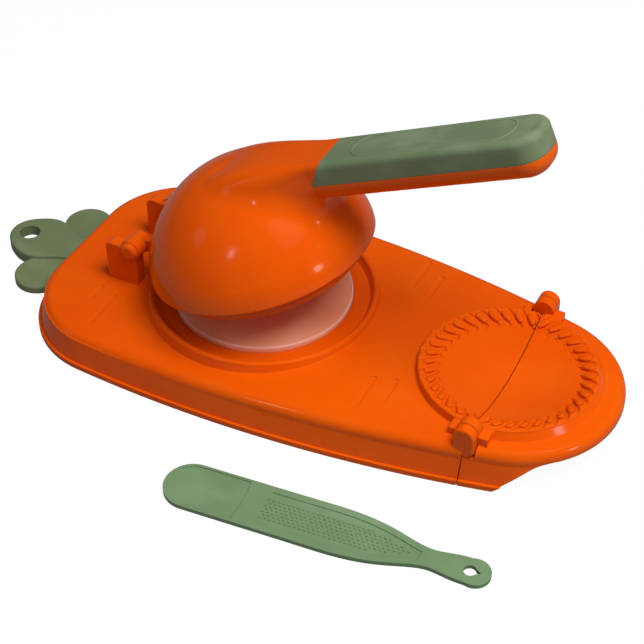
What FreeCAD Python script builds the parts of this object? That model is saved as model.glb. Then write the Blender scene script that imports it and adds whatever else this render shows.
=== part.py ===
import FreeCAD, Part
import math
import os
from FreeCAD import Vector

# Carrot-shaped dumpling maker: a base with a round pressing plate under a hinged
# domed lid, a folding mould at the tip, a leaf with a hanging hole and a loose spatula.
# Origin: axis of the pressing plate, on the floor. X runs to the carrot's tip, Z is up.

# Base outline seen from above, four tangent arcs and a flat rear end
rear_x = -115.0
rear_corner_r = 50.0
widest_x = -17.0
half_width = 76.8
tip_x = 139.6
tip_r = 57.8
floor_z = 0.0
skirt_inset = 3.2
skirt_lap = 0.3
rim_height = 3.0
rim_step = 0.7

# Crowned deck
deck_top = 22.4
deck_peak_x = 150.0
deck_edge = 20.5
deck_rear_drop = 4.4
deck_round = 5.0
wall = 2.4

# Round boss that carries the pressing plate
plate_r = 46.5
plate_top = 23.9
plate_thick = 4.0
plate_round = 1.4
seat_gap = 0.25
crest_r = 59.8
crest_width = 3.4
crest_top = 25.4
boss_foot_r = 61.4
boss_root = 18.4
channel_floor = 21.2
channel_slope = 1.6
plate_post_circle = 30.0
plate_post_turn = 90.0
plate_post_r = 3.0

# Folding mould
fold_x = 136.3
fold_gap = 0.5
fold_rise = 0.5
lip_r = 42.6
lip_top = 26.6
lip_width = 2.0
lip_foot_r = 46.2
crimp_width = 7.0
crimp_drop = 3.2
bowl_drop = 10.4
collar_round = 1.0
flute_count = 38
flute_width = 2.6
flute_depth = 0.9
flute_slant = 38.0
nose_foot_r = 48.6
nose_shift = 5.4
nose_foot_z = 15.0
undercut_x = 152.8
undercut_angle = 40.5
undercut_top = 15.6
undercut_round = 15.0

# Knuckles of the folding tip
knuckle_r = 5.5
lug_stand = 1.2
tip_lug_width = 5.2
base_lug_width = 5.0
lug_gap = 0.4
lug_drop = 11.0
lug_chamfer = 3.0
shoulder_length = 4.2
shoulder_drop = 1.2
shoulder_end = 50.4
shoulder_round = 1.0
lug_round = 1.1
notch_gap = 0.5
tip_pin_r = 2.0
tip_pin_cover = 1.6
pin_gap = 0.04

# Lid hinge on two ears
hinge_x = -65.2
hinge_z = 41.6
ear_outer_y = 23.8
ear_thick = 7.0
ear_back = 15.4
ear_front = 3.0
ear_rise = 0.8
ear_top_r = 5.8
ear_corner_r = 3.2
ear_round = 0.8
ear_side_gap = 0.5
ear_root = 15.6
lid_pin_r = 3.0
lid_pin_head_r = 4.9
lid_pin_head = 2.8
lid_pin_round = 2.2

# Domed lid, sized in its closed position
lid_rest_angle = 17.0
dome_r = 58.8
dome_rim_z = 32.3
dome_height = 49.4
dome_shoulder_r = 28.0
dome_lip = 1.0
dome_wall = 2.4
lid_knuckle_r = 5.4
arm_thick = 4.2
arm_rise = 1.4
arm_end_x = -36.6

# Handle, a bar that leaves the dome's top through a flared neck and rises towards its end
handle_tilt = 7.5
handle_root_z = 82.3
handle_length = 171.0
handle_width = 27.0
handle_height = 21.4
handle_end_r = 11.6
handle_under_r = 8.6
handle_over_r = 3.4
neck_end = 49.5
neck_blend_r = 18.0
grip_depth = 11.6
grip_front = 58.0
grip_front_slant = 36.0
grip_wall = 3.0
handle_wall = 3.4
wave_count = 4
wave_inset = 28.0
wave_r = 24.0
wave_depth = 1.6
grip_screw_inset = 18.0
grip_post_r = 3.6
grip_screw_sink = 1.7
split_gap = 0.1

# Sections of the neck before its end: place along the handle, half width, top, upper corner radius
neck_stations = (
    (-22.0, 20.0, -4.5, 8.0),
    (4.0, 24.0, 0.6, 12.4),
    (22.0, 21.0, 1.4, 11.0),
    (38.0, 16.2, 0.6, 6.0),
)

# Pressing disc and its carrier under the dome
dough = 1.3
disc_r = 46.0
disc_thick = 3.4
carrier_thick = 2.4
cutter_inner_r = 48.4
cutter_thick = 1.8
cutter_edge = 0.45
cutter_lift = 1.3
disc_spigot_r = 8.0
carrier_screw_circle = 34.0
carrier_screw_turn = 60.0
lid_post_r = 4.2

# Screws
fixing_count = 3
screw_r = 1.5
screw_head_r = 3.0
screw_head = 1.9
screw_reach = 8.0
thread_gap = 0.05
head_gap = 0.4

# Leaf, flat behind the base
leaf_thick = 4.4
leaf_mid_thick = 6.6
leaf_root_z = 0.4
leaf_side_u = 11.6
leaf_side_v = 24.4
leaf_side_r = 13.2
leaf_hole_u = 34.2
leaf_hole_r = 5.7
leaf_round = 1.2
leaf_mid_outline = ((45.0, 0.0), (42.0, 8.4), (36.0, 13.4), (28.0, 16.8), (21.0, 16.4), (11.0, 12.0), (-2.4, 9.0))
tongue_length = 22.0
tongue_half = 12.0
tongue_thick = 2.4
tongue_z = 2.6
tongue_gap = 0.2
leaf_screw_x = -100.0
leaf_screw_y = 7.0
leaf_post_r = 4.0

# Feet
foot_rear_x = -84.0
foot_front_x = 104.0
foot_y = 44.0
foot_r = 7.5
foot_taper = 1.0
foot_height = 2.6
foot_spigot_r = 2.9
foot_spigot = 6.0
foot_post_r = 6.0

# Pressed lines across the deck: x, inner y, outer y
groove_width = 3.0
groove_depth = 0.45
groove_lines = (
    (79.0, -33.0, -53.0),
    (89.5, -30.0, -45.0),
    (66.5, 38.0, 61.0),
    (77.5, 36.0, 52.5),
    (-79.5, -33.0, -43.0),
    (-69.5, -36.0, -58.0),
)

# Spatula, lying on the floor in front of the base
spatula_x = 12.4
spatula_y = -120.9
spatula_turn = 5.2
spatula_length = 161.5
spatula_half = 13.8
spatula_thick = 2.4
blade_end = 66.0
shoulder_u = 94.0
shoulder_half = 13.5
taper_u = 114.0
taper_half = 10.0
neck_u = 132.0
neck_half = 5.4
tab_u = 151.0
tab_half = 7.3
scoop_end = 40.0
scoop_arc_r = 80.0
scoop_depth = 0.7
scoop_edge = 1.3
panel_start = 47.0
panel_end = 128.0
panel_edge = 3.6
panel_arc_r = 15.0
panel_depth = 0.6
tab_hole_u = 151.6
tab_hole_r = 3.1
tab_hole_tip = 5.2

# Where cutting shapes run out beyond the part, and how near counts as touching
past = 60.0
touch = 1e-3

# How far the middle of a quarter arc lies inside its corner, per radius
corner_share = 1 - math.sqrt(0.5)
side_r = ((tip_x - widest_x) ** 2 / (half_width - tip_r) + tip_r + half_width) / 2
rear_corner_x = rear_x + rear_corner_r
rear_corner_y = half_width - side_r + math.sqrt(
    (side_r - rear_corner_r) ** 2 - (rear_corner_x - widest_x) ** 2)
deck_half = half_width - skirt_inset
skirt_top = deck_edge - deck_round
hollow_foot = floor_z - wall / 2
high = deck_top + past / 2
deck_side_drop = deck_top - deck_edge
deck_r_across = (deck_half ** 2 + deck_side_drop ** 2) / (2 * deck_side_drop)
deck_r_along = ((deck_peak_x - rear_x) ** 2 + deck_rear_drop ** 2) / (2 * deck_rear_drop)
plate_seat = plate_top - plate_thick
fold_z = lip_top + fold_rise
collar_r = lip_r + lip_width
tip_lug_y = collar_r + lug_stand
base_end_x = fold_x - fold_gap / 2
tip_start_x = fold_x + fold_gap / 2
base_lug_y = tip_lug_y + tip_lug_width + lug_gap
base_lug_end = base_lug_y + base_lug_width
disc_bottom = plate_top + dough
carrier_bottom = disc_bottom + disc_thick
carrier_top = carrier_bottom + carrier_thick
cutter_bottom = channel_floor + cutter_lift
ear_inner_y = ear_outer_y - ear_thick
arm_outer_y = ear_inner_y - ear_side_gap
arm_inner_y = arm_outer_y - arm_thick


def turned(shape, point, axis, angle):
    moved = shape.copy()
    moved.rotate(point, axis, angle)
    return moved


def drawn(start, *steps):
    # Edges in the XZ plane: a step of two numbers is a line, of four an arc through a point
    edges = []
    here = Vector(start[0], 0, start[1])
    for step in steps:
        there = Vector(step[-2], 0, step[-1])
        if len(step) == 2:
            edges.append(Part.LineSegment(here, there).toShape())
        else:
            edges.append(Part.Arc(here, Vector(step[0], 0, step[1]), there).toShape())
        here = there
    home = Vector(start[0], 0, start[1])
    if (here - home).Length > touch:
        edges.append(Part.LineSegment(here, home).toShape())
    return Part.Wire(edges)


def revolved(wire, axis_x=0.0):
    solid = Part.Face(wire).revolve(Vector(0, 0, 0), Vector(0, 0, 1), 360)
    solid.translate(Vector(axis_x, 0, 0))
    return solid


def round_bar(x, z, radius, y_start, y_end):
    return Part.makeCylinder(radius, y_end - y_start, Vector(x, y_start, z), Vector(0, 1, 0))


def post(x, y, radius, z_start, z_end):
    return Part.makeCylinder(radius, z_end - z_start, Vector(x, y, z_start))


def box(x, y, z):
    return Part.makeBox(x[1] - x[0], y[1] - y[0], z[1] - z[0], Vector(x[0], y[0], z[0]))


def mirrored_y(shape):
    return shape.mirror(Vector(0, 0, 0), Vector(0, 1, 0))


def united(shapes):
    return shapes[0].multiFuse(shapes[1:]).removeSplitter()


def screw_up(x, y, z_head, reach):
    # A pan-head screw driven upwards, its head's bearing face at z_head
    head = post(x, y, screw_head_r, z_head - screw_head, z_head)
    shank = post(x, y, screw_r, z_head, z_head + reach)
    return head.fuse(shank).removeSplitter()


def pilot_up(x, y, z_start, reach):
    return post(x, y, screw_r + thread_gap, z_start, z_start + reach + head_gap)


def arc_between(centre, radius, start, end):
    middle = (start + end) / 2
    points = [Vector(centre[0] + radius * math.cos(a), centre[1] + radius * math.sin(a), 0)
              for a in (start, middle, end)]
    return Part.Arc(*points).toShape()


def base_outline(inset, z):
    side_centre = (widest_x, half_width - side_r)
    corner_centre = (rear_corner_x, rear_corner_y)
    tip_angle = math.atan2(-side_centre[1], tip_x - widest_x)
    corner_angle = math.atan2(rear_corner_y - side_centre[1], rear_corner_x - widest_x)
    upper_side = arc_between(side_centre, side_r - inset, tip_angle, corner_angle)
    upper_corner = arc_between(corner_centre, rear_corner_r - inset, corner_angle, math.pi)
    lower_side = mirrored_y(upper_side)
    lower_corner = mirrored_y(upper_corner)
    tip = arc_between((tip_x, 0), tip_r - inset, -tip_angle, tip_angle)
    rear = Part.LineSegment(Vector(rear_x + inset, rear_corner_y, 0),
                            Vector(rear_x + inset, -rear_corner_y, 0)).toShape()
    edges = [tip, upper_side, upper_corner, rear, lower_corner, lower_side]
    wire = Part.Wire(Part.__sortEdges__(edges))
    wire.translate(Vector(0, 0, z))
    return wire


def upright_block(inset, z_start, z_end):
    return Part.Face(base_outline(inset, z_start)).extrude(Vector(0, 0, z_end - z_start))


def skirt_block(inset, z_start):
    # Flared foot of the side wall, its top just inside the upright wall
    lower = base_outline(inset, z_start)
    upper = base_outline(inset + skirt_inset + skirt_lap, skirt_top)
    return Part.makeLoft([lower, upper], True, True)


def deck_bulk(depth):
    # Everything under the crowned deck, sunk by depth
    centre = Vector(deck_peak_x, 0, deck_top - deck_r_along)
    return Part.makeTorus(deck_r_along - deck_r_across, deck_r_across - depth, centre, Vector(0, 1, 0))


def crowned_hull():
    block = upright_block(skirt_inset, floor_z, high).common(deck_bulk(0))
    crown = max(block.Faces, key=lambda face: face.CenterOfMass.z)
    return block.makeFillet(deck_round, crown.Edges).fuse(skirt_block(0, floor_z))


def rim_band():
    band = upright_block(-rim_step, floor_z, rim_height)
    return band.cut(upright_block(wall / 2, hollow_foot, high))


def hull_hollow():
    block = upright_block(skirt_inset + wall, hollow_foot, high).common(deck_bulk(wall))
    return block.fuse(skirt_block(wall, hollow_foot))


def hull_shell(keep, keep_inside):
    # One side of the fold, closed by an end wall
    shell = crowned_hull().common(keep).cut(hull_hollow().common(keep_inside))
    return shell.fuse(rim_band().common(keep))


def boss_block():
    crest_in = crest_r - crest_width
    half = crest_width / 2
    ring_in = crest_in - channel_slope - wall
    profile = drawn((0, plate_seat - wall), (ring_in, plate_seat - wall), (ring_in, boss_root),
                    (boss_foot_r, boss_root),
                    (crest_r, crest_top - half),
                    (crest_r - half, crest_top, crest_in, crest_top - half),
                    (crest_in - channel_slope, channel_floor),
                    (plate_r + seat_gap, channel_floor), (plate_r + seat_gap, plate_seat),
                    (0, plate_seat))
    return revolved(profile)


def mould_block():
    profile = drawn((0, nose_foot_z), (lip_foot_r, nose_foot_z), (collar_r, lip_top - collar_round),
                    (collar_r - collar_round * corner_share, lip_top - collar_round * corner_share,
                     collar_r - collar_round, lip_top),
                    (0, lip_top))
    return revolved(profile, fold_x)


def bowl_profile(sink, top):
    # Area above the bowl, sunk by the wall for the hollow under it
    crimp_r = lip_r - crimp_width
    crimp_z = lip_top - crimp_drop - sink
    bottom = lip_top - bowl_drop - sink
    rise = crimp_z - bottom
    bowl_r = (crimp_r ** 2 + rise ** 2) / (2 * rise)
    part_way = crimp_r / 2
    part_z = bottom + bowl_r - math.sqrt(bowl_r ** 2 - part_way ** 2)
    return drawn((0, bottom), (part_way, part_z, crimp_r, crimp_z),
                 (lip_r, lip_top - sink), (lip_r, top), (0, top))


def bowl_space():
    return revolved(bowl_profile(0, lip_top + past), fold_x)


def mould_hollow():
    under = post(fold_x, 0, lip_r - wall / 2, -wall, lip_top - wall)
    return under.cut(revolved(bowl_profile(wall, lip_top + past), fold_x))


def flute_cuts(slant):
    # Slanted flutes sunk into the crimping band of the mould
    crimp_angle = math.atan2(crimp_drop, crimp_width)
    band = crimp_width / math.cos(crimp_angle)
    mid_r = lip_r - crimp_width / 2
    mid_z = lip_top - crimp_drop / 2
    flute = Part.makeCylinder(flute_width / 2, band * 2, Vector(-band, 0, 0), Vector(1, 0, 0))
    flute.rotate(Vector(0, 0, 0), Vector(0, 0, 1), slant)
    flute.rotate(Vector(0, 0, 0), Vector(0, 1, 0), -math.degrees(crimp_angle))
    flute.translate(Vector(mid_r, 0, mid_z + flute_width / 2 - flute_depth))
    pitch = 360.0 / flute_count
    cuts = [turned(flute, Vector(0, 0, 0), Vector(0, 0, 1), pitch * (i + 0.5))
            for i in range(flute_count)]
    ring = Part.makeCompound(cuts)
    ring.translate(Vector(fold_x, 0, 0))
    return ring


def nose_block():
    foot = Part.Wire(Part.makeCircle(nose_foot_r, Vector(fold_x + nose_shift, 0, nose_foot_z)))
    lip = Part.Wire(Part.makeCircle(collar_r, Vector(fold_x, 0, lip_top - collar_round)))
    return Part.makeLoft([foot, lip], True, True)


def before_fold(x):
    return box((rear_x - past, x), (-half_width - past, half_width + past), (-past, 2 * past))


def after_fold(x):
    return box((x, tip_x + tip_r + past), (-half_width - past, half_width + past), (-past, 2 * past))


def base_lug():
    # D-shaped outer knuckle of the base, over the seam
    upright = box((fold_x - knuckle_r, fold_x + knuckle_r), (base_lug_y, base_lug_end),
                  (fold_z - lug_drop, fold_z))
    corner = Part.makePolygon([
        Vector(fold_x + knuckle_r - lug_chamfer, base_lug_y, fold_z - lug_drop),
        Vector(fold_x + knuckle_r, base_lug_y, fold_z - lug_drop),
        Vector(fold_x + knuckle_r, base_lug_y, fold_z - lug_drop + lug_chamfer),
        Vector(fold_x + knuckle_r - lug_chamfer, base_lug_y, fold_z - lug_drop)])
    upright = upright.cut(Part.Face(corner).extrude(Vector(0, base_lug_width, 0)))
    root = box((fold_x - knuckle_r, base_end_x), (base_lug_y, base_lug_end), (skirt_top, fold_z))
    lug = united([upright, root, round_bar(fold_x, fold_z, knuckle_r, base_lug_y, base_lug_end)])
    end = [e for e in lug.Edges if abs(e.BoundBox.YMin - base_lug_end) < touch and e.BoundBox.ZMax > fold_z]
    return lug.makeFillet(lug_round, end)


def shoulder(start_x, start_y):
    # Block beside the knuckle, its upper edges rounded
    top = fold_z - shoulder_drop
    block = box((start_x, start_x + shoulder_length), (start_y, shoulder_end), (deck_edge - wall, top))
    upper = [e for e in block.Edges if abs(e.BoundBox.ZMin - top) < touch]
    return block.makeFillet(shoulder_round, upper)


def base_shoulder():
    return shoulder(fold_x - knuckle_r - notch_gap - shoulder_length, tip_lug_y - wall)


def tip_lug():
    arm = box((fold_x, fold_x + knuckle_r + notch_gap + shoulder_length),
              (tip_lug_y - wall, tip_lug_y + tip_lug_width), (deck_edge - wall, fold_z - shoulder_drop))
    barrel = round_bar(fold_x, fold_z, knuckle_r, tip_lug_y, tip_lug_y + tip_lug_width)
    return arm.fuse(barrel)


def tip_shoulder():
    return shoulder(fold_x + knuckle_r + notch_gap, tip_lug_y)


def lug_notch():
    # Room for the base's outer knuckle in the tip
    return box((fold_x - past, fold_x + knuckle_r + notch_gap),
               (base_lug_y - lug_gap, half_width + past), (fold_z - lug_drop - notch_gap, fold_z + past))


def barrel_room():
    # Room in the base for the tip's barrel
    return round_bar(fold_x, fold_z, knuckle_r + notch_gap, tip_lug_y - lug_gap, base_lug_y)


def both_sides(shape):
    return [shape, mirrored_y(shape)]


def tip_pin():
    return round_bar(fold_x, fold_z, tip_pin_r, tip_lug_y, base_lug_end - tip_pin_cover)


def tip_pin_bore():
    return round_bar(fold_x, fold_z, tip_pin_r + pin_gap, tip_lug_y - wall - lug_gap,
                     base_lug_end - tip_pin_cover)


def groove(x, y_in, y_out):
    low, high = min(y_in, y_out), max(y_in, y_out)
    half = groove_width / 2
    slot = box((x - half, x + half), (low, high), (0, deck_top + half))
    ends = [post(x, y, half, 0, deck_top + half) for y in (low, high)]
    return united([slot] + ends).cut(deck_bulk(groove_depth))


def ear():
    start = hinge_x - ear_back
    top = hinge_z + ear_rise
    stand = box((start, hinge_x), (ear_inner_y, ear_outer_y), (ear_root, top))
    corner = [e for e in stand.Edges
              if abs(e.CenterOfMass.z - top) < touch and abs(e.CenterOfMass.x - start) < touch]
    stand = stand.makeFillet(ear_corner_r, corner)
    front = box((hinge_x, hinge_x + ear_front), (ear_inner_y, ear_outer_y), (ear_root, hinge_z))
    crown = round_bar(hinge_x, hinge_z, ear_top_r, ear_inner_y, ear_outer_y)
    body = united([stand, front, crown])
    outer = [e for e in body.Edges
             if abs(e.BoundBox.YMin - ear_outer_y) < touch and e.CenterOfMass.z > ear_root + touch]
    return body.makeFillet(ear_round, outer)


def on_circle(radius, first):
    angles = [math.radians(first + 360 * i / fixing_count) for i in range(fixing_count)]
    return [(radius * math.cos(a), radius * math.sin(a)) for a in angles]


def plate_posts():
    return on_circle(plate_post_circle, plate_post_turn)


def foot_places():
    return {
        "foot_rear_left": (foot_rear_x, foot_y),
        "foot_rear_right": (foot_rear_x, -foot_y),
        "foot_front_left": (foot_front_x, foot_y),
        "foot_front_right": (foot_front_x, -foot_y),
    }


def plate_screw_seat():
    return plate_seat - wall


def base_shell():
    keep = before_fold(base_end_x)
    keep_inside = before_fold(base_end_x - wall)
    shell = hull_shell(keep, keep_inside)
    on_deck = [boss_block(), mould_block().common(keep)] + both_sides(ear()) + both_sides(base_shoulder())
    for piece in on_deck:
        shell = shell.fuse(piece)
    shell = shell.cut(post(0, 0, plate_r + seat_gap, plate_seat, high))
    shell = shell.cut(mould_hollow().common(keep_inside)).cut(bowl_space())
    shell = shell.cut(flute_cuts(flute_slant))
    for room in both_sides(barrel_room()):
        shell = shell.cut(room)
    shell = united([shell] + both_sides(base_lug()))
    for bore in both_sides(tip_pin_bore()):
        shell = shell.cut(bore)
    shell = shell.cut(round_bar(hinge_x, hinge_z, lid_pin_r + pin_gap, -past, past))
    inner = hull_hollow()
    foot_posts = [post(x, y, foot_post_r, foot_height, deck_top).common(inner)
                  for x, y in foot_places().values()]
    leaf_posts = [post(leaf_screw_x, y, leaf_post_r, tongue_z + tongue_thick, deck_top).common(inner)
                  for y in (-leaf_screw_y, leaf_screw_y)]
    shell = united([shell] + foot_posts + leaf_posts)
    for x, y in foot_places().values():
        bore_top = foot_height + foot_spigot + head_gap
        shell = shell.cut(post(x, y, foot_spigot_r + pin_gap, -wall, bore_top))
    for y in (-leaf_screw_y, leaf_screw_y):
        shell = shell.cut(pilot_up(leaf_screw_x, y, tongue_z, screw_reach))
    for x, y in plate_posts():
        shell = shell.cut(post(x, y, plate_post_r + seat_gap, 0, plate_top))
    shell = shell.cut(tongue_slot())
    for line in groove_lines:
        shell = shell.cut(groove(*line))
    return shell


def fold_tip():
    keep = after_fold(tip_start_x).cut(finger_undercut())
    keep_inside = after_fold(tip_start_x + wall)
    tip = hull_shell(keep, keep_inside)
    on_deck = [mould_block().common(keep), nose_block().common(keep)] + both_sides(tip_shoulder())
    for piece in on_deck:
        tip = tip.fuse(piece)
    tip = tip.cut(mould_hollow().common(keep_inside)).cut(bowl_space())
    tip = tip.cut(flute_cuts(-flute_slant))
    for notch in both_sides(lug_notch()):
        tip = tip.cut(notch)
    lugs = [lug.cut(bowl_space()) for lug in both_sides(tip_lug())]
    tip = united([tip] + lugs)
    for bore in both_sides(tip_pin_bore()):
        tip = tip.cut(bore)
    return tip


def finger_undercut():
    # Sloping underside that lets a finger lift the tip, rounded into a level roof
    slope = math.radians(undercut_angle)
    corner_x = undercut_x + undercut_top / math.tan(slope)
    reach = undercut_round * math.tan(slope / 2)
    slope_end = (corner_x - reach * math.cos(slope), undercut_top - reach * math.sin(slope))
    roof_x = corner_x + reach
    bend = (roof_x - undercut_round * math.sin(slope / 2),
            undercut_top - undercut_round * (1 - math.cos(slope / 2)))
    far = tip_x + tip_r + past
    wedge = Part.Face(drawn((undercut_x, 0), slope_end, (*bend, roof_x, undercut_top),
                            (far, undercut_top), (far, -past), (undercut_x, -past)))
    wedge.translate(Vector(0, -half_width - past, 0))
    return wedge.extrude(Vector(0, 2 * (half_width + past), 0))


def press_plate():
    profile = drawn((0, plate_seat), (plate_r, plate_seat), (plate_r, plate_top - plate_round),
                    (plate_r - plate_round * corner_share, plate_top - plate_round * corner_share,
                     plate_r - plate_round, plate_top),
                    (0, plate_top))
    plate = revolved(profile)
    stems = [post(x, y, plate_post_r, plate_screw_seat(), plate_seat) for x, y in plate_posts()]
    plate = united([plate] + stems)
    for x, y in plate_posts():
        plate = plate.cut(pilot_up(x, y, plate_screw_seat(), plate_seat - plate_screw_seat()))
    return plate


def press_plate_screws():
    reach = plate_seat - plate_screw_seat()
    return Part.makeCompound([screw_up(x, y, plate_screw_seat(), reach) for x, y in plate_posts()])


def foot(x, y):
    pad = Part.makeCone(foot_r - foot_taper, foot_r, foot_height / 2, Vector(x, y, 0))
    disc = post(x, y, foot_r, foot_height / 2, foot_height)
    spigot = post(x, y, foot_spigot_r, foot_height, foot_height + foot_spigot)
    return united([pad, disc, spigot])


def tongue_slot():
    half = tongue_half + tongue_gap
    return box((rear_x - past, rear_x + skirt_inset + 2 * wall), (-half, half),
               (tongue_z - tongue_gap, tongue_z + tongue_thick))


def leaf_middle():
    # Raised leaflet between the side lobes
    far_side = [Vector(rear_x - u, v, leaf_root_z) for u, v in leaf_mid_outline]
    near_side = [Vector(p.x, -p.y, p.z) for p in far_side[:0:-1]]
    curve = Part.BSplineCurve()
    curve.interpolate(near_side + far_side)
    root = Part.LineSegment(far_side[-1], near_side[0])
    outline = Part.Wire([curve.toShape(), root.toShape()])
    return rounded_over(Part.Face(outline).extrude(Vector(0, 0, leaf_mid_thick)))


def rounded_over(slab):
    upper = max(slab.Faces, key=lambda face: face.CenterOfMass.z)
    return slab.makeFillet(leaf_round, upper.OuterWire.Edges)


def leaf_tab():
    top = leaf_root_z + leaf_thick
    lobes = [post(rear_x - leaf_side_u, leaf_side_v, leaf_side_r, leaf_root_z, top),
             post(rear_x - leaf_side_u, -leaf_side_v, leaf_side_r, leaf_root_z, top)]
    web = box((rear_x - leaf_side_u, rear_x + wall), (-leaf_side_v - leaf_side_r / 4,
              leaf_side_v + leaf_side_r / 4), (leaf_root_z, top))
    leaf = rounded_over(united([web] + lobes)).fuse(leaf_middle())
    leaf = leaf.cut(post(rear_x - leaf_hole_u, 0, leaf_hole_r, -past, past))
    leaf = leaf.cut(skirt_block(-tongue_gap, floor_z))
    leaf = leaf.cut(upright_block(-rim_step - tongue_gap, -past, rim_height + tongue_gap))
    tongue = box((rear_x - leaf_side_u, rear_x + tongue_length), (-tongue_half, tongue_half),
                 (tongue_z, tongue_z + tongue_thick - tongue_gap))
    leaf = united([leaf, tongue])
    for y in (-leaf_screw_y, leaf_screw_y):
        leaf = leaf.cut(post(leaf_screw_x, y, screw_r + head_gap, -past, past))
    return leaf


def leaf_tab_screws():
    return Part.makeCompound([screw_up(leaf_screw_x, y, tongue_z, screw_reach)
                              for y in (-leaf_screw_y, leaf_screw_y)])


def lid_pin():
    # Short pin through one ear and one arm, with a rounded head outside
    end = ear_outer_y + lid_pin_head
    head = round_bar(hinge_x, hinge_z, lid_pin_head_r, ear_outer_y, end)
    rim = [e for e in head.Edges if abs(e.BoundBox.YMin - end) < touch]
    head = head.makeFillet(lid_pin_round, rim)
    shaft = round_bar(hinge_x, hinge_z, lid_pin_r, arm_inner_y, ear_outer_y)
    return head.fuse(shaft).removeSplitter()


def dome_form(sink, foot):
    # Shoulder and cap of the dome as two tangent arcs, both drawn in by sink
    shoulder = dome_shoulder_r
    span = dome_r - shoulder
    cap = (span ** 2 + dome_height ** 2 - shoulder ** 2) / (2 * (dome_height - shoulder))
    cap_z = dome_rim_z + dome_height - cap
    lean = math.atan2(dome_rim_z - cap_z, span)
    meet = (span + (shoulder - sink) * math.cos(lean), dome_rim_z + (shoulder - sink) * math.sin(lean))
    half = lean / 2
    side = (span + (shoulder - sink) * math.cos(half), dome_rim_z + (shoulder - sink) * math.sin(half))
    high = (math.pi / 2 + lean) / 2
    over = ((cap - sink) * math.cos(high), cap_z + (cap - sink) * math.sin(high))
    rim_r = dome_r - sink
    return revolved(drawn((0, dome_rim_z - foot), (rim_r, dome_rim_z - foot), (rim_r, dome_rim_z),
                          (*side, *meet), (*over, 0, cap_z + cap - sink)))


def handle_placed(shape):
    # From the handle's own frame, X along its top line and Z out of its top
    moved = shape.copy()
    moved.rotate(Vector(0, 0, 0), Vector(0, 1, 0), -handle_tilt)
    moved.translate(Vector(0, 0, handle_root_z))
    return moved


def handle_bar():
    half = handle_width / 2
    bar = box((neck_end, handle_length), (-half, half), (-handle_height, 0))
    ends = [e for e in bar.Edges
            if abs(e.CenterOfMass.x - handle_length) < touch
            and abs(e.CenterOfMass.z + handle_height / 2) < touch]
    bar = bar.makeFillet(handle_end_r, ends)
    under = [e for e in bar.Edges
             if abs(e.BoundBox.ZMax + handle_height) < touch and e.BoundBox.XMax > neck_end + touch]
    bar = bar.makeFillet(handle_under_r, under)
    over = [e for e in bar.Edges if abs(e.BoundBox.ZMin) < touch and e.BoundBox.XMax > neck_end + touch]
    return bar.makeFillet(handle_over_r, over)


def neck_section(u, half, top, bottom, over_r, under_r):
    # Rounded section across the handle, over_r on its upper and under_r on its lower corners
    def corner(y, z, radius, start):
        angles = [math.radians(start + 45 * i) for i in range(3)]
        points = [Vector(u, y + radius * math.cos(a), z + radius * math.sin(a)) for a in angles]
        return Part.Arc(*points).toShape()

    arcs = [corner(half - over_r, top - over_r, over_r, 0),
            corner(over_r - half, top - over_r, over_r, 90),
            corner(under_r - half, bottom + under_r, under_r, 180),
            corner(half - under_r, bottom + under_r, under_r, 270)]
    edges = []
    for i, arc in enumerate(arcs):
        following = arcs[(i + 1) % len(arcs)]
        edges += [arc, Part.LineSegment(arc.Vertexes[-1].Point, following.Vertexes[0].Point).toShape()]
    return Part.Wire(edges)


def handle_neck():
    at_bar = (neck_end, handle_width / 2, 0, handle_over_r)
    sections = [neck_section(u, half, top, -handle_height, over_r, handle_under_r)
                for u, half, top, over_r in (*neck_stations, at_bar)]
    return Part.makeLoft(sections, True, False)


def dome_with_neck():
    # The dome's seam lies behind, so that the fillet round the neck's root runs clear of it
    dome = turned(dome_form(0, dome_lip), Vector(0, 0, 0), Vector(0, 0, 1), 180)
    body = dome.fuse(handle_placed(handle_neck())).removeSplitter()
    roots = []
    for edge in body.Edges:
        kinds = {face.Surface.TypeId for face in body.ancestorsOfType(edge, Part.Face)}
        if "Part::GeomBSplineSurface" in kinds and kinds & {"Part::GeomSphere", "Part::GeomToroid"}:
            roots.append(edge)
    return body.makeFillet(neck_blend_r, roots)


def grip_zone(gap):
    # Upper part of the bar behind the slanted front edge, grown or shrunk by a gap
    low = -grip_depth + gap
    front = grip_front + gap
    lean = grip_depth * math.tan(math.radians(grip_front_slant))
    side = Part.makePolygon([Vector(front - lean, -past, low), Vector(handle_length + past, -past, low),
                             Vector(handle_length + past, -past, grip_depth),
                             Vector(front + lean, -past, grip_depth),
                             Vector(front - lean, -past, low)])
    return Part.Face(side).extrude(Vector(0, 2 * past, 0))


def handle_pocket(z_start, z_end):
    half = handle_width / 2 - handle_wall
    return box((grip_front + handle_wall, handle_length - handle_end_r), (-half, half), (z_start, z_end))


def grip_screw_places():
    return (grip_front + grip_screw_inset, handle_length - grip_screw_inset)


def handle_waves():
    first = grip_front + wave_inset
    pitch = (handle_length - wave_inset - first) / (wave_count - 1)
    return [round_bar(first + pitch * i, -handle_height - wave_r + wave_depth, wave_r,
                      -handle_width, handle_width)
            for i in range(wave_count)]


def lid_arm():
    barrel = round_bar(hinge_x, hinge_z, lid_knuckle_r, arm_inner_y, arm_outer_y)
    bar = box((hinge_x, arm_end_x), (arm_inner_y, arm_outer_y),
              (hinge_z - lid_knuckle_r, hinge_z + arm_rise))
    return barrel.fuse(bar)


def carrier_screw_places():
    return on_circle(carrier_screw_circle, carrier_screw_turn)


def lid_to_rest(shape):
    return turned(shape, Vector(hinge_x, 0, hinge_z), Vector(0, -1, 0), lid_rest_angle)


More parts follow.
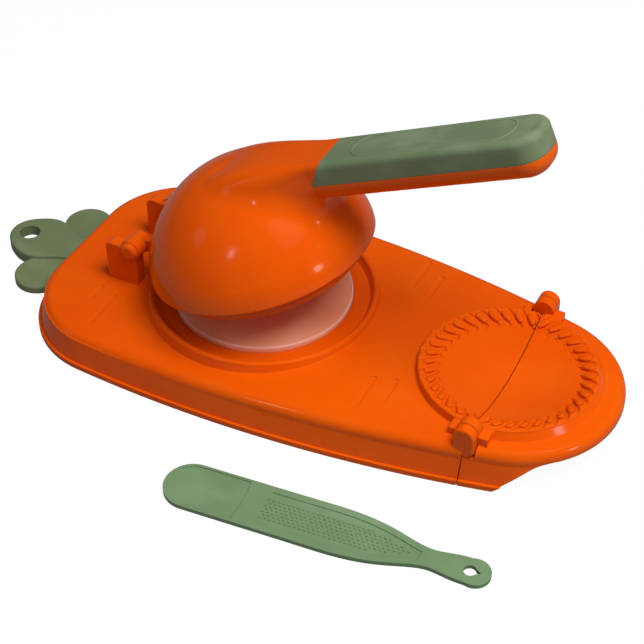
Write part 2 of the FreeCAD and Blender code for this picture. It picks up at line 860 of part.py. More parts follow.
def lid_dome():
    outer = dome_form(0, dome_lip)
    inner = dome_form(dome_wall, 2 * dome_lip)
    bar = handle_bar()
    for scallop in handle_waves():
        bar = bar.cut(scallop)
    bar = bar.cut(grip_zone(0))
    bar = bar.cut(handle_pocket(-handle_height + handle_wall, grip_depth))
    for x in grip_screw_places():
        bar = bar.cut(post(x, 0, screw_r + head_gap, -handle_height - past, 0))
        head_room = -handle_height + grip_screw_sink
        bar = bar.cut(post(x, 0, screw_head_r + head_gap, -handle_height - past, head_room))
    lid = united([dome_with_neck(), handle_placed(bar)] + both_sides(lid_arm())).cut(inner)
    posts = [post(x, y, lid_post_r, carrier_top, dome_rim_z + dome_height).common(outer)
             for x, y in carrier_screw_places()]
    lid = united([lid] + posts)
    for x, y in carrier_screw_places():
        lid = lid.cut(pilot_up(x, y, carrier_top, screw_reach))
    lid = lid.cut(round_bar(hinge_x, hinge_z, lid_pin_r + pin_gap, -past, past))
    return lid_to_rest(lid)


def handle_grip():
    cover = handle_bar().common(grip_zone(split_gap))
    cover = cover.cut(handle_pocket(-grip_depth - past, -grip_wall))
    floor = -handle_height + handle_wall
    stems = [post(x, 0, grip_post_r, floor, -grip_wall / 2) for x in grip_screw_places()]
    cover = united([cover] + stems)
    for x in grip_screw_places():
        cover = cover.cut(pilot_up(x, 0, floor, screw_reach))
    return lid_to_rest(handle_placed(cover))


def handle_grip_screws():
    seat = -handle_height + grip_screw_sink
    screws = Part.makeCompound([screw_up(x, 0, seat, screw_reach) for x in grip_screw_places()])
    return lid_to_rest(handle_placed(screws))


def press_carrier():
    cutter_r = cutter_inner_r + cutter_thick
    profile = drawn((disc_spigot_r + pin_gap, carrier_bottom), (cutter_inner_r, carrier_bottom),
                    (cutter_inner_r, cutter_bottom + cutter_thick),
                    (cutter_r - cutter_edge, cutter_bottom), (cutter_r, cutter_bottom),
                    (cutter_r, carrier_top), (disc_spigot_r + pin_gap, carrier_top))
    carrier = revolved(profile)
    for x, y in carrier_screw_places():
        carrier = carrier.cut(post(x, y, screw_r + head_gap, carrier_bottom, carrier_top))
    return lid_to_rest(carrier)


def press_carrier_screws():
    screws = [screw_up(x, y, carrier_bottom, screw_reach) for x, y in carrier_screw_places()]
    return lid_to_rest(Part.makeCompound(screws))


def press_disc():
    profile = drawn((0, disc_bottom), (disc_r - plate_round, disc_bottom),
                    (disc_r - plate_round * corner_share, disc_bottom + plate_round * corner_share,
                     disc_r, disc_bottom + plate_round),
                    (disc_r, carrier_bottom), (disc_spigot_r, carrier_bottom),
                    (disc_spigot_r, carrier_top), (0, carrier_top))
    disc = revolved(profile)
    for x, y in carrier_screw_places():
        disc = disc.cut(post(x, y, screw_head_r + head_gap, carrier_bottom - screw_head - head_gap,
                             carrier_bottom))
    return lid_to_rest(disc)


def spatula_outline(edge):
    # Closed outline of the spatula in its own frame, drawn in by edge
    half = spatula_half - edge
    end = arc_between((half + edge, 0), half, math.pi / 2, 3 * math.pi / 2)
    side = [Vector(blade_end, half, 0), Vector(shoulder_u, shoulder_half - edge, 0),
            Vector(taper_u, taper_half - edge, 0), Vector(neck_u, neck_half - edge, 0),
            Vector(tab_u, tab_half - edge, 0)]
    curve = Part.BSplineCurve()
    curve.interpolate(side, InitialTangent=Vector(1, 0, 0), FinalTangent=Vector(1, 0, 0))
    upper = curve.toShape()
    straight = Part.LineSegment(Vector(half + edge, half, 0), side[0]).toShape()
    tab = Part.Arc(side[-1], Vector(spatula_length - edge, 0, 0),
                   Vector(tab_u, edge - tab_half, 0)).toShape()
    edges = [end, straight, upper, tab, mirrored_y(upper), mirrored_y(straight)]
    return Part.Wire(Part.__sortEdges__(edges))


def filling_spatula():
    blade = Part.Face(spatula_outline(0)).extrude(Vector(0, 0, spatula_thick))
    scoop = Part.Face(spatula_outline(scoop_edge)).extrude(Vector(0, 0, spatula_thick))
    scoop.translate(Vector(0, 0, spatula_thick - scoop_depth))
    scoop = scoop.common(post(scoop_end - scoop_arc_r, 0, scoop_arc_r, 0, past))
    panel = Part.Face(spatula_outline(panel_edge)).extrude(Vector(0, 0, spatula_thick))
    panel.translate(Vector(0, 0, spatula_thick - panel_depth))
    panel_arc_x = panel_start + panel_arc_r
    panel = panel.common(box((panel_arc_x, panel_end), (-past, past), (0, past)).fuse(
        post(panel_arc_x, 0, panel_arc_r, 0, past)))
    hole = post(tab_hole_u, 0, tab_hole_r, -past, past)
    tip = Part.makePolygon([Vector(tab_hole_u, tab_hole_r, 0), Vector(tab_hole_u + tab_hole_tip, 0, 0),
                            Vector(tab_hole_u, -tab_hole_r, 0), Vector(tab_hole_u, tab_hole_r, 0)])
    drop = Part.Face(tip).extrude(Vector(0, 0, spatula_thick))
    blade = blade.cut(scoop).cut(panel).cut(hole).cut(drop)
    blade.rotate(Vector(0, 0, 0), Vector(0, 0, 1), spatula_turn)
    blade.translate(Vector(spatula_x, spatula_y, 0))
    return blade


nodes = {
    "base_shell": base_shell(),
    "press_plate": press_plate(),
    "press_plate_screws": press_plate_screws(),
    "leaf_tab": leaf_tab(),
    "leaf_tab_screws": leaf_tab_screws(),
    "lid_hinge_pin_left": lid_pin(),
    "lid_hinge_pin_right": mirrored_y(lid_pin()),
    "tip_hinge_pin_left": tip_pin(),
    "tip_hinge_pin_right": mirrored_y(tip_pin()),
    "fold_tip": fold_tip(),
    "lid_dome": lid_dome(),
    "handle_grip": handle_grip(),
    "handle_grip_screws": handle_grip_screws(),
    "press_carrier": press_carrier(),
    "press_carrier_screws": press_carrier_screws(),
    "press_disc": press_disc(),
    "filling_spatula": filling_spatula(),
}
for name, (x, y) in foot_places().items():
    nodes[name] = foot(x, y)

os.makedirs("parts", exist_ok=True)
for name, shape in nodes.items():
    shape.exportStep("parts/" + name + ".step")
    print(name, "solids", len(shape.Solids), "valid", shape.isValid(), "volume", round(shape.Volume, 1))
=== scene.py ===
import bpy
import math
from mathutils import Matrix, Vector


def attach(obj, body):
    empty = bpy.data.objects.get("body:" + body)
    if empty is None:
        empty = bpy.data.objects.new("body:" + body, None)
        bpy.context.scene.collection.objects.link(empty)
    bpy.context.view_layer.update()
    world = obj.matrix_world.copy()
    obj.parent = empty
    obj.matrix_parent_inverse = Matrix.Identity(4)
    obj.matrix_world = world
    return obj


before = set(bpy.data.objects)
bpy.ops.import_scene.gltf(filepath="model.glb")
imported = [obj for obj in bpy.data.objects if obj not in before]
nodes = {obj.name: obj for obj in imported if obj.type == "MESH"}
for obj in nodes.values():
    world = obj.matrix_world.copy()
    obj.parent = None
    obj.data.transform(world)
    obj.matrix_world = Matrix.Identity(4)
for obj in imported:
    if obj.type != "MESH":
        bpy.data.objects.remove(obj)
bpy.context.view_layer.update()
mm = 0.001
print("frame loaded,", len(nodes), "CAD nodes")


# sums on shader sockets, written as plain expressions
class Wire:
    def __init__(self, tree, socket=None):
        self.tree = tree
        self.socket = socket

    def node(self, kind, settings=None, values=None, out=0):
        made = self.tree.nodes.new(kind)
        for key, value in (settings or {}).items():
            setattr(made, key, value)
        for key, value in (values or {}).items():
            if isinstance(value, Wire):
                self.tree.links.new(value.socket, made.inputs[key])
            else:
                made.inputs[key].default_value = value
        return Wire(self.tree, made.outputs[out] if len(made.outputs) else None)

    def sum(self, operation, first, second):
        return self.node("ShaderNodeMath", {"operation": operation}, {0: first, 1: second})

    def __add__(self, other):
        return self.sum("ADD", self, other)

    def __radd__(self, other):
        return self.sum("ADD", other, self)

    def __sub__(self, other):
        return self.sum("SUBTRACT", self, other)

    def __rsub__(self, other):
        return self.sum("SUBTRACT", other, self)

    def __mul__(self, other):
        return self.sum("MULTIPLY", self, other)

    def __rmul__(self, other):
        return self.sum("MULTIPLY", other, self)


def newFinish(name):
    material = bpy.data.materials.new(name)
    material.use_nodes = True
    material.node_tree.nodes.clear()
    return material, Wire(material.node_tree)


# soft noise with features about size millimetres across
def grain(place, size, detail=2.0, stretch=(1, 1, 1), rough=0.55):
    spread = place.node("ShaderNodeMapping", None, {"Vector": place, "Scale": stretch})
    return place.node("ShaderNodeTexNoise", None,
                      {"Vector": spread, "Scale": 1 / (size * mm), "Detail": detail, "Roughness": rough})


def band(value, low, high):  # 0 below low, 1 above high, eased between
    return value.node("ShaderNodeMapRange", {"interpolation_type": "SMOOTHSTEP"},
                      {"Value": value, "From Min": low, "From Max": high})


def tint(factor, first, second):
    tones = {0: factor, 6: first, 7: second}
    for key in (6, 7):
        if not isinstance(tones[key], Wire):
            tones[key] = (*tones[key], 1)
    return factor.node("ShaderNodeMix", {"data_type": "RGBA"}, tones, out=2)


# camera at the photograph's viewing angle
cameraView = {"place": (0.31563, -0.54860, 0.56113), "looksAlong": (-0.34187, 0.66537, -0.66363),
              "focalPixels": 1600, "framePixels": 644, "sensor": 36}


def setCamera():
    lens = bpy.data.cameras.new("photoCamera")
    lens.sensor_width = cameraView["sensor"]
    lens.lens = cameraView["focalPixels"] / cameraView["framePixels"] * cameraView["sensor"]
    camera = bpy.data.objects.new("photoCamera", lens)
    camera.location = cameraView["place"]
    camera.rotation_euler = Vector(cameraView["looksAlong"]).to_track_quat("-Z", "Y").to_euler()
    bpy.context.scene.collection.objects.link(camera)
    bpy.context.scene.camera = camera


# studio: large soft box overhead, small ones that leave the gloss marks
softBoxes = {
    "overhead": {"from": (0.36, -0.10, 0.93), "far": 1.3, "size": (0.7, 0.7),
                 "watts": 16.6, "mark": False},
    "rightSide": {"from": (0.93, -0.16, 0.34), "far": 1.1, "size": (0.14, 0.2),
                  "watts": 1.0, "mark": True},
    "frontStrip": {"from": (-0.27, -0.72, 0.64), "far": 1.2, "size": (0.03, 0.16),
                   "watts": 0.44, "mark": True},
    "leftPatch": {"from": (-0.79, -0.40, 0.46), "far": 1.2, "size": (0.26, 0.26),
                  "watts": 0.14, "mark": True},
}
studio = {"aim": (0.05, 0, 0.06), "ambient": 0.17, "glossDim": 0.14, "floorSize": 12, "floorDrop": 0.05,
          "floorTone": 0.27, "floorDrift": 0.02, "floorPatch": 40, "floorWhite": 0.82, "floorGlow": 1.17}


def seenWhite(paint):  # 1 for what the eye and clear pieces look at, the gloss sees less
    eye, gloss, clear = (paint.node("ShaderNodeLightPath", out=name)
                         for name in ("Is Camera Ray", "Is Glossy Ray", "Is Transmission Ray"))
    total = eye + clear - studio["glossDim"] * gloss
    return total.sum("MINIMUM", total, 1.0)


def setStudio():
    aim = Vector(studio["aim"])
    for name, box in softBoxes.items():
        lamp = bpy.data.lights.new(name, "AREA")
        lamp.shape = "RECTANGLE"
        lamp.size, lamp.size_y = box["size"]
        lamp.energy = box["watts"]
        holder = bpy.data.objects.new(name, lamp)
        towards = Vector(box["from"]).normalized()
        holder.location = aim + towards * box["far"]
        holder.rotation_euler = (-towards).to_track_quat("-Z", "Y").to_euler()
        holder.visible_glossy = box["mark"]
        bpy.context.scene.collection.objects.link(holder)
    world = bpy.data.worlds.new("paleStudio")
    world.use_nodes = True
    world.node_tree.nodes.clear()
    air = Wire(world.node_tree)
    glow = studio["ambient"] + (1 - studio["ambient"]) * seenWhite(air)
    sky = air.node("ShaderNodeBackground", None, {"Color": (1, 1, 1, 1), "Strength": glow})
    air.node("ShaderNodeOutputWorld", None, {"Surface": sky})
    bpy.context.scene.world = world


def makeFloor():
    bpy.ops.object.select_all(action="DESELECT")
    bpy.ops.mesh.primitive_plane_add(size=studio["floorSize"], location=(0, 0, -studio["floorDrop"] * mm))
    floor = bpy.context.object
    floor.name = "studioFloor"
    material, paint = newFinish("paleFloor")
    place = paint.node("ShaderNodeTexCoord", out="Object")
    low = studio["floorTone"]
    high = low + studio["floorDrift"]
    paper = tint(grain(place, studio["floorPatch"]), (low, low, low), (high, high, high))
    cloth = paint.node("ShaderNodeBsdfDiffuse", None, {"Color": paper})
    white = paint.node("ShaderNodeEmission", None, {"Strength": studio["floorGlow"]})
    shown = paint.node("ShaderNodeMixShader", None,
                       {0: studio["floorWhite"] * seenWhite(paint), 1: cloth, 2: white})
    paint.node("ShaderNodeOutputMaterial", None, {"Surface": shown})
    floor.data.materials.append(material)


setCamera()
setStudio()
makeFloor()
print("camera, soft boxes and floor set")


# moulded plastic: slow pigment drift, orange-peel skin, handling smears, soft painted highlight that
# lightens the edges
plasticGrain = {"bevelSamples": 6, "rimBand": (0.01, 0.16), "rimPolish": 0.03, "driftBand": (0.3, 0.7),
                "flowBand": (0.42, 0.75), "speckSize": 0.55, "speckBand": (0.70, 0.78),
                "smearSize": 26, "smearStretch": (1, 1.6, 1), "smearBand": (0.48, 0.70),
                "hairSize": 2.2, "hairStretch": (0.06, 1, 1), "hairBand": (0.60, 0.72), "sinkSize": 34}


def mouldedPlastic(name, look):
    material, paint = newFinish(name)
    place = paint.node("ShaderNodeTexCoord", out="Object")
    rounded = paint.node("ShaderNodeBevel", {"samples": plasticGrain["bevelSamples"]},
                         {"Radius": look["edge"] * mm})
    facing = paint.node("ShaderNodeNewGeometry", out="Normal")
    square = paint.node("ShaderNodeVectorMath", {"operation": "DOT_PRODUCT"}, {0: rounded, 1: facing},
                        out="Value")
    rim = band(1 - square, *plasticGrain["rimBand"])
    drift = grain(place, look["drift"], 3.0)
    flow = grain(place, look["flow"], 2.0, look["flowStretch"])
    speck = band(grain(place, plasticGrain["speckSize"], 1.0), *plasticGrain["speckBand"])
    skin = tint(band(drift, *plasticGrain["driftBand"]), look["deep"], look["tone"])
    skin = tint(band(flow, *plasticGrain["flowBand"]) * look["flowShow"], skin, look["bright"])
    # painted highlight: the bevelled edges are tinted toward the bright tone
    skin = tint(rim * look["edgeHighlightShow"], skin, look["bright"])
    skin = tint(speck * look["speckShow"], skin, look["deep"])
    smear = band(grain(place, plasticGrain["smearSize"], 4.0, plasticGrain["smearStretch"]),
                 *plasticGrain["smearBand"])
    hair = band(grain(place, plasticGrain["hairSize"], 3.0, plasticGrain["hairStretch"]),
                *plasticGrain["hairBand"])
    rough = look["rough"] + look["smear"] * smear + look["hair"] * hair - plasticGrain["rimPolish"] * rim
    peel = grain(place, look["peel"], 2.0) * look["peelDepth"]
    sink = grain(place, plasticGrain["sinkSize"], 1.0) * look["sinkDepth"]
    relief = paint.node("ShaderNodeBump", None,
                        {"Height": peel + sink, "Strength": 1.0, "Distance": mm, "Normal": rounded})
    shell = paint.node("ShaderNodeBsdfPrincipled", None,
                       {"Base Color": skin, "Roughness": rough, "Normal": relief,
                        "Specular IOR Level": look["gloss"], "IOR": 1.5})
    paint.node("ShaderNodeOutputMaterial", None, {"Surface": shell})
    return material


carrotLook = {"tone": (0.85, 0.104, 0.0012), "deep": (0.80, 0.088, 0.001), "bright": (0.92, 0.15, 0.005),
              "edge": 0.7, "drift": 60, "flow": 30, "flowStretch": (0.35, 1, 1), "flowShow": 0.25,
              "edgeHighlightShow": 0.55, "speckShow": 0.05, "rough": 0.13, "smear": 0.06, "hair": 0.04,
              "peel": 1.5, "peelDepth": 0.010, "sinkDepth": 0.10, "gloss": 0.22}
leafLook = {"tone": (0.172, 0.218, 0.102), "deep": (0.150, 0.195, 0.092), "bright": (0.26, 0.31, 0.18),
            "edge": 0.9, "drift": 30, "flow": 16, "flowStretch": (0.5, 1, 1), "flowShow": 0.3,
            "edgeHighlightShow": 0.6, "speckShow": 0.10, "rough": 0.38, "smear": 0.08, "hair": 0.04,
            "peel": 0.7, "peelDepth": 0.014, "sinkDepth": 0.05, "gloss": 0.35}
# the grip's bright tone and strong edge tint are a painted highlight on its rounded edges
gripLook = {**leafLook, "tone": (0.180, 0.232, 0.118), "deep": (0.155, 0.212, 0.112),
            "bright": (0.36, 0.44, 0.30), "edge": 1.2, "edgeHighlightShow": 0.8}
spatulaLook = {**leafLook, "tone": (0.186, 0.300, 0.150), "deep": (0.168, 0.275, 0.136),
               "bright": (0.27, 0.40, 0.24), "edge": 0.6}
# the plate's pinkish cream is pushed toward orange: painted orange bounce light from the dome
plateLook = {"tone": (0.91, 0.39, 0.22), "deep": (0.87, 0.34, 0.18), "bright": (0.94, 0.57, 0.44),
             "edge": 0.8, "drift": 40, "flow": 18, "flowStretch": (1, 1, 1), "flowShow": 0.25,
             "edgeHighlightShow": 0.6, "speckShow": 0.12, "rough": 0.30, "smear": 0.10, "hair": 0.06,
             "peel": 1.1, "peelDepth": 0.008, "sinkDepth": 0.05, "gloss": 0.4}
# paler tone of the plate's edge bead: painted highlight
beadHighlightLook = {**plateLook, "tone": (0.92, 0.54, 0.42), "deep": (0.90, 0.48, 0.36),
            "bright": (0.95, 0.66, 0.56)}


# drawn steel of the screws
steelLook = {"tone": (0.62, 0.62, 0.63), "deep": (0.46, 0.46, 0.47), "edge": 0.25, "bevelSamples": 4,
             "rough": 0.28, "streak": 0.5, "streakStretch": (1, 0.08, 1), "streakDepth": 0.01,
             "streakRough": 0.08, "stain": 3.0, "stainBand": (0.45, 0.75), "stainRough": 0.14}


def drawnSteel(name, look):
    material, paint = newFinish(name)
    place = paint.node("ShaderNodeTexCoord", out="Object")
    rounded = paint.node("ShaderNodeBevel", {"samples": look["bevelSamples"]}, {"Radius": look["edge"] * mm})
    streak = grain(place, look["streak"], 3.0, look["streakStretch"])
    stain = band(grain(place, look["stain"], 3.0), *look["stainBand"])
    skin = tint(streak, look["deep"], look["tone"])
    relief = paint.node("ShaderNodeBump", None,
                        {"Height": streak * look["streakDepth"], "Distance": mm, "Normal": rounded})
    rough = look["rough"] + look["stainRough"] * stain + look["streakRough"] * streak
    shell = paint.node("ShaderNodeBsdfPrincipled", None,
                       {"Base Color": skin, "Metallic": 1.0, "Normal": relief, "Roughness": rough})
    paint.node("ShaderNodeOutputMaterial", None, {"Surface": shell})
    return material


# soft rubber of the feet, dusty where it rubs
rubberLook = {"tone": (0.030, 0.030, 0.032), "dust": (0.12, 0.115, 0.11), "edge": 0.4, "bevelSamples": 4,
              "rough": 0.72, "dustSize": 2.0, "dustBand": (0.5, 0.8), "dustShow": 0.6, "dustRough": 0.15,
              "poreSize": 0.4, "poreDepth": 0.03}


def softRubber(name, look):
    material, paint = newFinish(name)
    place = paint.node("ShaderNodeTexCoord", out="Object")
    rounded = paint.node("ShaderNodeBevel", {"samples": look["bevelSamples"]}, {"Radius": look["edge"] * mm})
    dust = band(grain(place, look["dustSize"], 4.0), *look["dustBand"])
    pores = grain(place, look["poreSize"], 2.0)
    skin = tint(dust * look["dustShow"], look["tone"], look["dust"])
    relief = paint.node("ShaderNodeBump", None,
                        {"Height": pores * look["poreDepth"], "Distance": mm, "Normal": rounded})
    shell = paint.node("ShaderNodeBsdfPrincipled", None,
                       {"Base Color": skin, "Normal": relief,
                        "Roughness": look["rough"] + look["dustRough"] * dust})
    paint.node("ShaderNodeOutputMaterial", None, {"Surface": shell})
    return material


finishes = {
    "carrot": mouldedPlastic("carrotGlossPlastic", carrotLook),
    "leaf": mouldedPlastic("leafSatinPlastic", leafLook),
    "grip": mouldedPlastic("gripSatinPlastic", gripLook),
    "spatula": mouldedPlastic("spatulaSatinPlastic", spatulaLook),
    "plate": mouldedPlastic("plateCreamPaintedBounce", plateLook),
    "bead": mouldedPlastic("plateBeadPaintedHighlight", beadHighlightLook),
    "steel": drawnSteel("drawnSteel", steelLook),
    "rubber": softRubber("footRubber", rubberLook),
}
dressing = {
    "carrot": ("base_shell", "fold_tip", "lid_dome", "lid_hinge_pin_left", "lid_hinge_pin_right",
               "tip_hinge_pin_left", "tip_hinge_pin_right", "press_carrier", "press_disc"),
    "leaf": ("leaf_tab",),
    "grip": ("handle_grip",),
    "spatula": ("filling_spatula",),
    "plate": ("press_plate",),
    "steel": ("press_plate_screws", "leaf_tab_screws", "handle_grip_screws", "press_carrier_screws"),
    "rubber": ("foot_rear_left", "foot_rear_right", "foot_front_left", "foot_front_right"),
}


def dressNodes():
    for finish, names in dressing.items():
        for name in names:
            piece = nodes[name]
            if not piece.material_slots:
                piece.data.materials.append(finishes[finish])
            for slot in piece.material_slots:
                slot.material = finishes[finish]


dressNodes()
print("finishes on all nodes")


def startPiece():
    if bpy.context.object and bpy.context.object.mode != "OBJECT":
        bpy.ops.object.mode_set(mode="OBJECT")
    bpy.ops.object.select_all(action="DESELECT")


def pickVerts(piece, test):  # leaves edit mode with these vertices picked
    bpy.ops.object.mode_set(mode="EDIT")
    bpy.ops.mesh.select_mode(type="VERT")
    bpy.ops.mesh.select_all(action="DESELECT")
    bpy.ops.object.mode_set(mode="OBJECT")
    for vert in piece.data.vertices:
        vert.select = test(vert.co)
    bpy.ops.object.mode_set(mode="EDIT")


def putDown(piece, place):  # moves the finished shape to its place, leaves the object at the origin
    bpy.ops.object.mode_set(mode="OBJECT")
    piece.matrix_world = place
    bpy.ops.object.transform_apply(location=True, rotation=True, scale=True)


smoothAngle = 50  # degrees, sharper edges stay crisp


def finishPiece(piece, name, body, finish):
    piece.name = name
    piece.data.name = name
    piece.data.materials.clear()
    piece.data.materials.append(finishes[finish])
    bpy.ops.object.shade_smooth_by_angle(angle=math.radians(smoothAngle))
    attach(piece, body)
    print(name, "made,", len(piece.data.polygons), "faces")


# the handle's own frame: X along its top line, Z out of its top, lid held open as at rest
handlePlace = {"hinge": (-0.0652, 0, 0.0416), "open": 17.0, "tilt": 7.5, "rootHeight": 0.0823}


def handleFrame():
    hinge = Vector(handlePlace["hinge"])
    opened = Matrix.Rotation(-math.radians(handlePlace["open"]), 4, "Y")
    tilted = Matrix.Rotation(-math.radians(handlePlace["tilt"]), 4, "Y")
    return (Matrix.Translation(hinge) @ opened @ Matrix.Translation(-hinge)
            @ Matrix.Translation((0, 0, handlePlace["rootHeight"])) @ tilted)


# thin raised oval on the grip's top
gripOval = {"from": 71.4, "to": 156.8, "half": 9.2, "bead": 0.55, "sunk": 0.18,
            "segments": 72, "roundness": 3, "midGap": 0.1}


def makeGripOval():
    startPiece()
    half = gripOval["half"] * mm
    bpy.ops.mesh.primitive_circle_add(vertices=gripOval["segments"], radius=half)
    oval = bpy.context.object
    pickVerts(oval, lambda co: co.x > gripOval["midGap"] * mm)
    run = (gripOval["to"] - gripOval["from"]) * mm - 2 * half
    bpy.ops.transform.translate(value=(run, 0, 0))  # one end slides away, the circle becomes a long oval
    bpy.ops.object.mode_set(mode="OBJECT")
    bpy.ops.object.convert(target="CURVE")
    oval = bpy.context.object
    oval.data.bevel_depth = gripOval["bead"] * mm
    oval.data.bevel_resolution = gripOval["roundness"]
    bpy.ops.object.convert(target="MESH")
    oval = bpy.context.object
    start = Matrix.Translation((gripOval["from"] * mm + half, 0, -gripOval["sunk"] * mm))
    putDown(oval, handleFrame() @ start)
    finishPiece(oval, "grip_oval_bead", "lid", "grip")


makeGripOval()


# rounded ribs between the flutes of the crimping band, leaning the other way on the tip
crimpRib = {"foldX": 136.3, "lipR": 42.6, "lipTop": 26.6, "bandWidth": 7.0, "bandDrop": 3.2, "count": 38,
            "slant": 38.0, "long": 7.0, "wide": 3.3, "high": 0.7, "sunk": 0.15, "seam": 0.45,
            "segments": 12, "rings": 8, "midGap": 0.01, "nearSeam": 0.08}


def makeRib():  # one rib lying along X, its flat foot a little under the band
    startPiece()
    bpy.ops.mesh.primitive_uv_sphere_add(segments=crimpRib["segments"], ring_count=crimpRib["rings"],
                                         radius=0.5 * crimpRib["wide"] * mm)
    rib = bpy.context.object
    pickVerts(rib, lambda co: True)
    bpy.ops.mesh.bisect(plane_co=(0, 0, 0), plane_no=(0, 0, 1), clear_inner=True, use_fill=True)
    bpy.ops.mesh.select_all(action="SELECT")
    bpy.ops.transform.resize(value=(1, 1, (crimpRib["high"] + crimpRib["sunk"]) / (0.5 * crimpRib["wide"])))
    run = (crimpRib["long"] - crimpRib["wide"]) * mm
    for side in (-1, 1):
        pickVerts(rib, lambda co: co.x * side > crimpRib["midGap"] * mm)
        bpy.ops.transform.translate(value=(side * run / 2, 0, 0))
    bpy.ops.object.mode_set(mode="OBJECT")
    return rib


def makeCrimpRibs(name, body, towardsTip):
    rib = makeRib()
    slope = math.atan2(crimpRib["bandDrop"], crimpRib["bandWidth"])
    lean = crimpRib["slant"]
    middle = (crimpRib["lipR"] - crimpRib["bandWidth"] / 2, 0,
              crimpRib["lipTop"] - crimpRib["bandDrop"] / 2)
    onBand = (Matrix.Translation(Vector(middle) * mm) @ Matrix.Rotation(-slope, 4, "Y")
              @ Matrix.Rotation(math.radians(-lean if towardsTip else lean), 4, "Z")
              @ Matrix.Translation((0, 0, -crimpRib["sunk"] * mm)))
    centre = Matrix.Translation((crimpRib["foldX"] * mm, 0, 0))
    ribs = []
    for step in range(crimpRib["count"]):
        turn = 2 * math.pi * step / crimpRib["count"]
        ahead = math.cos(turn)
        if (ahead > -crimpRib["nearSeam"]) == towardsTip or abs(ahead) < crimpRib["nearSeam"]:
            bpy.ops.object.select_all(action="DESELECT")
            rib.select_set(True)
            bpy.context.view_layer.objects.active = rib
            bpy.ops.object.duplicate(linked=False)
            bpy.context.object.matrix_world = centre @ Matrix.Rotation(turn, 4, "Z") @ onBand
            ribs.append(bpy.context.object)
    bpy.data.objects.remove(rib)
    for one in ribs:
        one.select_set(True)
    bpy.ops.object.join()
    joined = bpy.context.object
    putDown(joined, joined.matrix_world.copy())
    pickVerts(joined, lambda co: True)
    # both sets of ribs stop short of the fold line
    side = 1 if towardsTip else -1
    seam = (crimpRib["foldX"] + side * crimpRib["seam"]) * mm
    bpy.ops.mesh.bisect(plane_co=(seam, 0, 0), plane_no=(side, 0, 0), clear_inner=True, use_fill=True)
    bpy.ops.object.mode_set(mode="OBJECT")
    finishPiece(joined, name, body, "carrot")


makeCrimpRibs("crimp_ribs_base", "base", False)
makeCrimpRibs("crimp_ribs_tip", "tip", True)


# bead round the press plate's edge, paler than the plate: a painted highlight of its lit edge
plateBead = {"ringR": 45.75, "plateTop": 23.74, "thickR": 0.65, "sunk": 0.25,
             "around": 160, "section": 12}


def makePlateBead():
    startPiece()
    bpy.ops.mesh.primitive_torus_add(
        major_radius=plateBead["ringR"] * mm, minor_radius=plateBead["thickR"] * mm,
        major_segments=plateBead["around"], minor_segments=plateBead["section"],
        location=(0, 0, (plateBead["plateTop"] - plateBead["sunk"]) * mm))
    bead = bpy.context.object
    bpy.ops.object.transform_apply(location=True, rotation=True, scale=True)
    finishPiece(bead, "plate_edge_bead", "base", "bead")


makePlateBead()


# rice-grain bumps in the spatula's sunk panel
spatulaGrain = {"place": (12.4, -120.9), "turn": 5.2, "floor": 1.8, "from": 50.0, "to": 126.0,
                "pitch": 2.5, "row": 1.9, "long": 1.9, "wide": 0.95, "high": 0.45, "slant": 32.0,
                "roundness": 2,
                "outline": ((50, 6.5), (56, 7.6), (94, 7.8), (104, 6.4), (114, 4.2), (126, 0.8))}


def panelHalf(along):
    spots = spatulaGrain["outline"]
    for (start, low), (end, high) in zip(spots, spots[1:]):
        if start <= along <= end:
            return low + (high - low) * (along - start) / (end - start)
    return 0


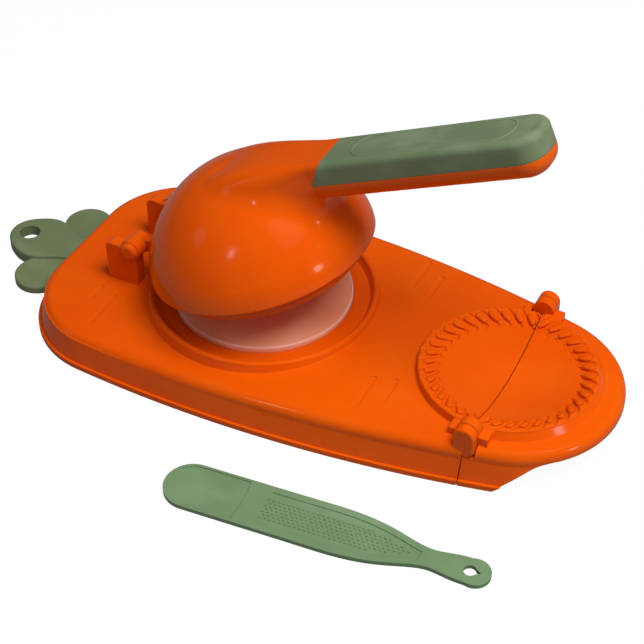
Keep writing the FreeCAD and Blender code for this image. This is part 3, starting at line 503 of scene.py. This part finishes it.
def makeSpatulaGrains():
    startPiece()
    bpy.ops.mesh.primitive_ico_sphere_add(subdivisions=spatulaGrain["roundness"],
                                          radius=0.5 * spatulaGrain["wide"] * mm)
    grains = bpy.context.object
    pickVerts(grains, lambda co: True)
    bpy.ops.mesh.bisect(plane_co=(0, 0, 0), plane_no=(0, 0, 1), clear_inner=True, use_fill=True)
    bpy.ops.mesh.select_all(action="SELECT")
    longer = spatulaGrain["long"] / spatulaGrain["wide"]
    bpy.ops.transform.resize(value=(longer, 1, 2 * spatulaGrain["high"] / spatulaGrain["wide"]))
    bpy.ops.object.mode_set(mode="OBJECT")
    corners = len(grains.data.vertices)
    half = max(reach for spot, reach in spatulaGrain["outline"])
    across = 2 * int(half / spatulaGrain["row"]) + 1
    along = int((spatulaGrain["to"] - spatulaGrain["from"]) / spatulaGrain["pitch"])
    rows = []
    # every other row is shifted half a step and leans the other way
    for row in range(across):
        bpy.ops.object.select_all(action="DESELECT")
        grains.select_set(True)
        bpy.context.view_layer.objects.active = grains
        bpy.ops.object.duplicate(linked=False)
        copy = bpy.context.object
        lean = spatulaGrain["slant"] * (1 if row % 2 else -1)
        shift = spatulaGrain["pitch"] / 2 * (row % 2)
        place = ((spatulaGrain["from"] + shift) * mm, (row - across // 2) * spatulaGrain["row"] * mm,
                 spatulaGrain["floor"] * mm)
        putDown(copy, Matrix.Translation(place) @ Matrix.Rotation(math.radians(lean), 4, "Z"))
        array = copy.modifiers.new("along", "ARRAY")
        array.use_relative_offset = False
        array.use_constant_offset = True
        array.constant_offset_displace = (spatulaGrain["pitch"] * mm, 0, 0)
        array.count = along
        bpy.ops.object.modifier_apply(modifier="along")
        rows.append(copy)
    bpy.data.objects.remove(grains)
    for copy in rows:
        copy.select_set(True)
    bpy.context.view_layer.objects.active = rows[0]
    bpy.ops.object.join()
    grains = bpy.context.object
    verts = grains.data.vertices
    # grains past the panel's outline are taken away
    outside = set()
    for first in range(0, len(verts), corners):
        spots = [verts[first + i].co for i in range(corners)]
        centreX = sum(co.x for co in spots) / corners / mm
        reach = max(abs(co.y) for co in spots) / mm
        if reach > panelHalf(centreX):
            outside.update(range(first, first + corners))
    pickVerts(grains, lambda co: False)
    bpy.ops.object.mode_set(mode="OBJECT")
    for index in outside:
        verts[index].select = True
    bpy.ops.object.mode_set(mode="EDIT")
    bpy.ops.mesh.delete(type="VERT")
    bpy.ops.object.mode_set(mode="OBJECT")
    lie = (Matrix.Translation((spatulaGrain["place"][0] * mm, spatulaGrain["place"][1] * mm, 0))
           @ Matrix.Rotation(math.radians(spatulaGrain["turn"]), 4, "Z"))
    putDown(grains, lie)
    finishPiece(grains, "spatula_grains", "spatula", "spatula")


makeSpatulaGrains()

view = bpy.context.scene.view_settings
view.view_transform = "Standard"
